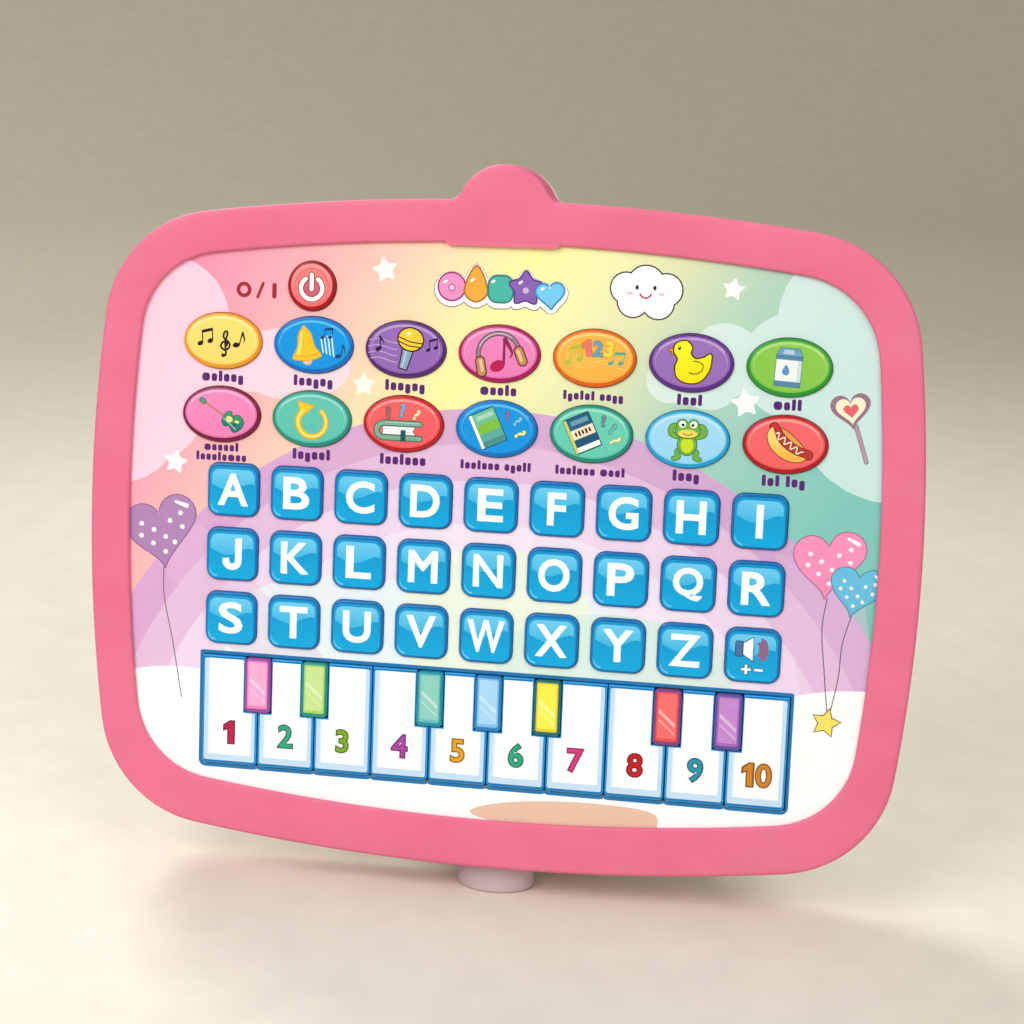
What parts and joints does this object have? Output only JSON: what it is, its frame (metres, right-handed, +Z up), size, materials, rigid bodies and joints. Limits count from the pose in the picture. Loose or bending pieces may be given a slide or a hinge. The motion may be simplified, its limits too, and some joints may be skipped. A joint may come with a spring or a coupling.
{
  "type": "kids toy tablet",
  "caption": "Free-standing learning tablet for a child: a pink frame round letter, picture and piano keys, with a power button, a battery door, a short foot and a folding prop.",
  "frame": {"origin": "on the surface the tablet stands on, under the middle of its bounding box", "axes": "+X along the board, from the child's left to right; +Y towards the back; +Z up"},
  "size_m": [0.253, 0.0768, 0.2195],
  "materials": {
    "pink_plastic": "satin moulded",
    "white_plastic": "fine matt moulding",
    "panel_print": "printed in pastel colours under a clear film",
    "silicone": "matt silicone",
    "board_laminate": "green solder mask",
    "speaker_driver": "paper cone on a steel and ferrite driver",
    "contact_steel": "bright plated",
    "battery_cell": "printed sleeve",
    "piano_white": "glossy, blue outlines",
    "piano_colour": "glossy, a colour for each key",
    "key_power": "glossy, darker rim",
    "key_blue": "glossy, darker rim",
    "key_yellow": "glossy, darker rim",
    "key_azure": "glossy, darker rim",
    "key_violet": "glossy, darker rim",
    "key_pink": "glossy, darker rim",
    "key_orange": "glossy, darker rim",
    "key_green": "glossy, darker rim",
    "key_rose": "glossy, darker rim",
    "key_teal": "glossy, darker rim",
    "key_red": "glossy, darker rim",
    "key_sky": "glossy, darker rim"
  },
  "bodies": {
    "tablet_body": {"front_frame": "pink_plastic", "key_panel": "panel_print", "keypad_mat": "silicone", "circuit_board": "board_laminate", "rear_shell": "white_plastic", "foot_post": "white_plastic", "speaker": "speaker_driver", "battery_bridge_contact": "contact_steel", "battery_1": "battery_cell", "battery_2": "battery_cell", "kickstand_pin": "contact_steel", "case_screw_left": "contact_steel", "case_screw_right": "contact_steel"},
    "kickstand": {"kickstand": "white_plastic"},
    "battery_door": {"battery_door": "white_plastic", "battery_door_screw": "contact_steel"},
    "white_keys": {"white_key_comb": "piano_white"},
    "coloured_keys": {"coloured_key_comb": "piano_colour"},
    "power_button": {"power_button": "key_power"},
    "key_a": {"key_a": "key_blue"},
    "key_b": {"key_b": "key_blue"},
    "key_c": {"key_c": "key_blue"},
    "key_d": {"key_d": "key_blue"},
    "key_e": {"key_e": "key_blue"},
    "key_f": {"key_f": "key_blue"},
    "key_g": {"key_g": "key_blue"},
    "key_h": {"key_h": "key_blue"},
    "key_i": {"key_i": "key_blue"},
    "key_j": {"key_j": "key_blue"},
    "key_k": {"key_k": "key_blue"},
    "key_l": {"key_l": "key_blue"},
    "key_m": {"key_m": "key_blue"},
    "key_n": {"key_n": "key_blue"},
    "key_o": {"key_o": "key_blue"},
    "key_p": {"key_p": "key_blue"},
    "key_q": {"key_q": "key_blue"},
    "key_r": {"key_r": "key_blue"},
    "key_s": {"key_s": "key_blue"},
    "key_t": {"key_t": "key_blue"},
    "key_u": {"key_u": "key_blue"},
    "key_v": {"key_v": "key_blue"},
    "key_w": {"key_w": "key_blue"},
    "key_x": {"key_x": "key_blue"},
    "key_y": {"key_y": "key_blue"},
    "key_z": {"key_z": "key_blue"},
    "key_volume": {"key_volume": "key_blue"},
    "picture_melody": {"picture_melody": "key_yellow"},
    "picture_bell": {"picture_bell": "key_azure"},
    "picture_singing": {"picture_singing": "key_violet"},
    "picture_music": {"picture_music": "key_pink"},
    "picture_digits": {"picture_digits": "key_orange"},
    "picture_duck": {"picture_duck": "key_violet"},
    "picture_milk": {"picture_milk": "key_green"},
    "picture_guitar": {"picture_guitar": "key_rose"},
    "picture_repeat": {"picture_repeat": "key_teal"},
    "picture_question": {"picture_question": "key_red"},
    "picture_spelling": {"picture_spelling": "key_azure"},
    "picture_word": {"picture_word": "key_teal"},
    "picture_frog": {"picture_frog": "key_sky"},
    "picture_hotdog": {"picture_hotdog": "key_red"}
  },
  "joints": [
    {"name": "kickstand_fold", "type": "hinge", "parent": "tablet_body", "child": "kickstand", "pos_m": [0, 0.00208, 0.08568], "axis": [-1, 0, 0], "range_deg": [0, 32]},
    {"name": "battery_door_lift", "type": "slide", "parent": "tablet_body", "child": "battery_door", "axis": [0, 0.9848, -0.1736], "range_m": [0, 0.015]},
    {"name": "white_keys_press", "type": "slide", "parent": "tablet_body", "child": "white_keys", "axis": [0, 0.9848, -0.1736], "range_m": [0, 0.0008], "stiffness_N_per_m": 2000, "springref_m": -0.0005},
    {"name": "coloured_keys_press", "type": "slide", "parent": "tablet_body", "child": "coloured_keys", "axis": [0, 0.9848, -0.1736], "range_m": [0, 0.0008], "stiffness_N_per_m": 1500, "springref_m": -0.0005},
    {"name": "power_button_press", "type": "slide", "parent": "tablet_body", "child": "power_button", "axis": [0, 0.9848, -0.1736], "range_m": [0, 0.0008], "stiffness_N_per_m": 600, "springref_m": -0.0005},
    {"name": "key_a_press", "type": "slide", "parent": "tablet_body", "child": "key_a", "axis": [0, 0.9848, -0.1736], "range_m": [0, 0.0008], "stiffness_N_per_m": 600, "springref_m": -0.0005},
    {"name": "key_b_press", "type": "slide", "parent": "tablet_body", "child": "key_b", "axis": [0, 0.9848, -0.1736], "range_m": [0, 0.0008], "stiffness_N_per_m": 600, "springref_m": -0.0005},
    {"name": "key_c_press", "type": "slide", "parent": "tablet_body", "child": "key_c", "axis": [0, 0.9848, -0.1736], "range_m": [0, 0.0008], "stiffness_N_per_m": 600, "springref_m": -0.0005},
    {"name": "key_d_press", "type": "slide", "parent": "tablet_body", "child": "key_d", "axis": [0, 0.9848, -0.1736], "range_m": [0, 0.0008], "stiffness_N_per_m": 600, "springref_m": -0.0005},
    {"name": "key_e_press", "type": "slide", "parent": "tablet_body", "child": "key_e", "axis": [0, 0.9848, -0.1736], "range_m": [0, 0.0008], "stiffness_N_per_m": 600, "springref_m": -0.0005},
    {"name": "key_f_press", "type": "slide", "parent": "tablet_body", "child": "key_f", "axis": [0, 0.9848, -0.1736], "range_m": [0, 0.0008], "stiffness_N_per_m": 600, "springref_m": -0.0005},
    {"name": "key_g_press", "type": "slide", "parent": "tablet_body", "child": "key_g", "axis": [0, 0.9848, -0.1736], "range_m": [0, 0.0008], "stiffness_N_per_m": 600, "springref_m": -0.0005},
    {"name": "key_h_press", "type": "slide", "parent": "tablet_body", "child": "key_h", "axis": [0, 0.9848, -0.1736], "range_m": [0, 0.0008], "stiffness_N_per_m": 600, "springref_m": -0.0005},
    {"name": "key_i_press", "type": "slide", "parent": "tablet_body", "child": "key_i", "axis": [0, 0.9848, -0.1736], "range_m": [0, 0.0008], "stiffness_N_per_m": 600, "springref_m": -0.0005},
    {"name": "key_j_press", "type": "slide", "parent": "tablet_body", "child": "key_j", "axis": [0, 0.9848, -0.1736], "range_m": [0, 0.0008], "stiffness_N_per_m": 600, "springref_m": -0.0005},
    {"name": "key_k_press", "type": "slide", "parent": "tablet_body", "child": "key_k", "axis": [0, 0.9848, -0.1736], "range_m": [0, 0.0008], "stiffness_N_per_m": 600, "springref_m": -0.0005},
    {"name": "key_l_press", "type": "slide", "parent": "tablet_body", "child": "key_l", "axis": [0, 0.9848, -0.1736], "range_m": [0, 0.0008], "stiffness_N_per_m": 600, "springref_m": -0.0005},
    {"name": "key_m_press", "type": "slide", "parent": "tablet_body", "child": "key_m", "axis": [0, 0.9848, -0.1736], "range_m": [0, 0.0008], "stiffness_N_per_m": 600, "springref_m": -0.0005},
    {"name": "key_n_press", "type": "slide", "parent": "tablet_body", "child": "key_n", "axis": [0, 0.9848, -0.1736], "range_m": [0, 0.0008], "stiffness_N_per_m": 600, "springref_m": -0.0005},
    {"name": "key_o_press", "type": "slide", "parent": "tablet_body", "child": "key_o", "axis": [0, 0.9848, -0.1736], "range_m": [0, 0.0008], "stiffness_N_per_m": 600, "springref_m": -0.0005},
    {"name": "key_p_press", "type": "slide", "parent": "tablet_body", "child": "key_p", "axis": [0, 0.9848, -0.1736], "range_m": [0, 0.0008], "stiffness_N_per_m": 600, "springref_m": -0.0005},
    {"name": "key_q_press", "type": "slide", "parent": "tablet_body", "child": "key_q", "axis": [0, 0.9848, -0.1736], "range_m": [0, 0.0008], "stiffness_N_per_m": 600, "springref_m": -0.0005},
    {"name": "key_r_press", "type": "slide", "parent": "tablet_body", "child": "key_r", "axis": [0, 0.9848, -0.1736], "range_m": [0, 0.0008], "stiffness_N_per_m": 600, "springref_m": -0.0005},
    {"name": "key_s_press", "type": "slide", "parent": "tablet_body", "child": "key_s", "axis": [0, 0.9848, -0.1736], "range_m": [0, 0.0008], "stiffness_N_per_m": 600, "springref_m": -0.0005},
    {"name": "key_t_press", "type": "slide", "parent": "tablet_body", "child": "key_t", "axis": [0, 0.9848, -0.1736], "range_m": [0, 0.0008], "stiffness_N_per_m": 600, "springref_m": -0.0005},
    {"name": "key_u_press", "type": "slide", "parent": "tablet_body", "child": "key_u", "axis": [0, 0.9848, -0.1736], "range_m": [0, 0.0008], "stiffness_N_per_m": 600, "springref_m": -0.0005},
    {"name": "key_v_press", "type": "slide", "parent": "tablet_body", "child": "key_v", "axis": [0, 0.9848, -0.1736], "range_m": [0, 0.0008], "stiffness_N_per_m": 600, "springref_m": -0.0005},
    {"name": "key_w_press", "type": "slide", "parent": "tablet_body", "child": "key_w", "axis": [0, 0.9848, -0.1736], "range_m": [0, 0.0008], "stiffness_N_per_m": 600, "springref_m": -0.0005},
    {"name": "key_x_press", "type": "slide", "parent": "tablet_body", "child": "key_x", "axis": [0, 0.9848, -0.1736], "range_m": [0, 0.0008], "stiffness_N_per_m": 600, "springref_m": -0.0005},
    {"name": "key_y_press", "type": "slide", "parent": "tablet_body", "child": "key_y", "axis": [0, 0.9848, -0.1736], "range_m": [0, 0.0008], "stiffness_N_per_m": 600, "springref_m": -0.0005},
    {"name": "key_z_press", "type": "slide", "parent": "tablet_body", "child": "key_z", "axis": [0, 0.9848, -0.1736], "range_m": [0, 0.0008], "stiffness_N_per_m": 600, "springref_m": -0.0005},
    {"name": "key_volume_press", "type": "slide", "parent": "tablet_body", "child": "key_volume", "axis": [0, 0.9848, -0.1736], "range_m": [0, 0.0008], "stiffness_N_per_m": 600, "springref_m": -0.0005},
    {"name": "picture_melody_press", "type": "slide", "parent": "tablet_body", "child": "picture_melody", "axis": [0, 0.9848, -0.1736], "range_m": [0, 0.0008], "stiffness_N_per_m": 600, "springref_m": -0.0005},
    {"name": "picture_bell_press", "type": "slide", "parent": "tablet_body", "child": "picture_bell", "axis": [0, 0.9848, -0.1736], "range_m": [0, 0.0008], "stiffness_N_per_m": 600, "springref_m": -0.0005},
    {"name": "picture_singing_press", "type": "slide", "parent": "tablet_body", "child": "picture_singing", "axis": [0, 0.9848, -0.1736], "range_m": [0, 0.0008], "stiffness_N_per_m": 600, "springref_m": -0.0005},
    {"name": "picture_music_press", "type": "slide", "parent": "tablet_body", "child": "picture_music", "axis": [0, 0.9848, -0.1736], "range_m": [0, 0.0008], "stiffness_N_per_m": 600, "springref_m": -0.0005},
    {"name": "picture_digits_press", "type": "slide", "parent": "tablet_body", "child": "picture_digits", "axis": [0, 0.9848, -0.1736], "range_m": [0, 0.0008], "stiffness_N_per_m": 600, "springref_m": -0.0005},
    {"name": "picture_duck_press", "type": "slide", "parent": "tablet_body", "child": "picture_duck", "axis": [0, 0.9848, -0.1736], "range_m": [0, 0.0008], "stiffness_N_per_m": 600, "springref_m": -0.0005},
    {"name": "picture_milk_press", "type": "slide", "parent": "tablet_body", "child": "picture_milk", "axis": [0, 0.9848, -0.1736], "range_m": [0, 0.0008], "stiffness_N_per_m": 600, "springref_m": -0.0005},
    {"name": "picture_guitar_press", "type": "slide", "parent": "tablet_body", "child": "picture_guitar", "axis": [0, 0.9848, -0.1736], "range_m": [0, 0.0008], "stiffness_N_per_m": 600, "springref_m": -0.0005},
    {"name": "picture_repeat_press", "type": "slide", "parent": "tablet_body", "child": "picture_repeat", "axis": [0, 0.9848, -0.1736], "range_m": [0, 0.0008], "stiffness_N_per_m": 600, "springref_m": -0.0005},
    {"name": "picture_question_press", "type": "slide", "parent": "tablet_body", "child": "picture_question", "axis": [0, 0.9848, -0.1736], "range_m": [0, 0.0008], "stiffness_N_per_m": 600, "springref_m": -0.0005},
    {"name": "picture_spelling_press", "type": "slide", "parent": "tablet_body", "child": "picture_spelling", "axis": [0, 0.9848, -0.1736], "range_m": [0, 0.0008], "stiffness_N_per_m": 600, "springref_m": -0.0005},
    {"name": "picture_word_press", "type": "slide", "parent": "tablet_body", "child": "picture_word", "axis": [0, 0.9848, -0.1736], "range_m": [0, 0.0008], "stiffness_N_per_m": 600, "springref_m": -0.0005},
    {"name": "picture_frog_press", "type": "slide", "parent": "tablet_body", "child": "picture_frog", "axis": [0, 0.9848, -0.1736], "range_m": [0, 0.0008], "stiffness_N_per_m": 600, "springref_m": -0.0005},
    {"name": "picture_hotdog_press", "type": "slide", "parent": "tablet_body", "child": "picture_hotdog", "axis": [0, 0.9848, -0.1736], "range_m": [0, 0.0008], "stiffness_N_per_m": 600, "springref_m": -0.0005}
  ]
}
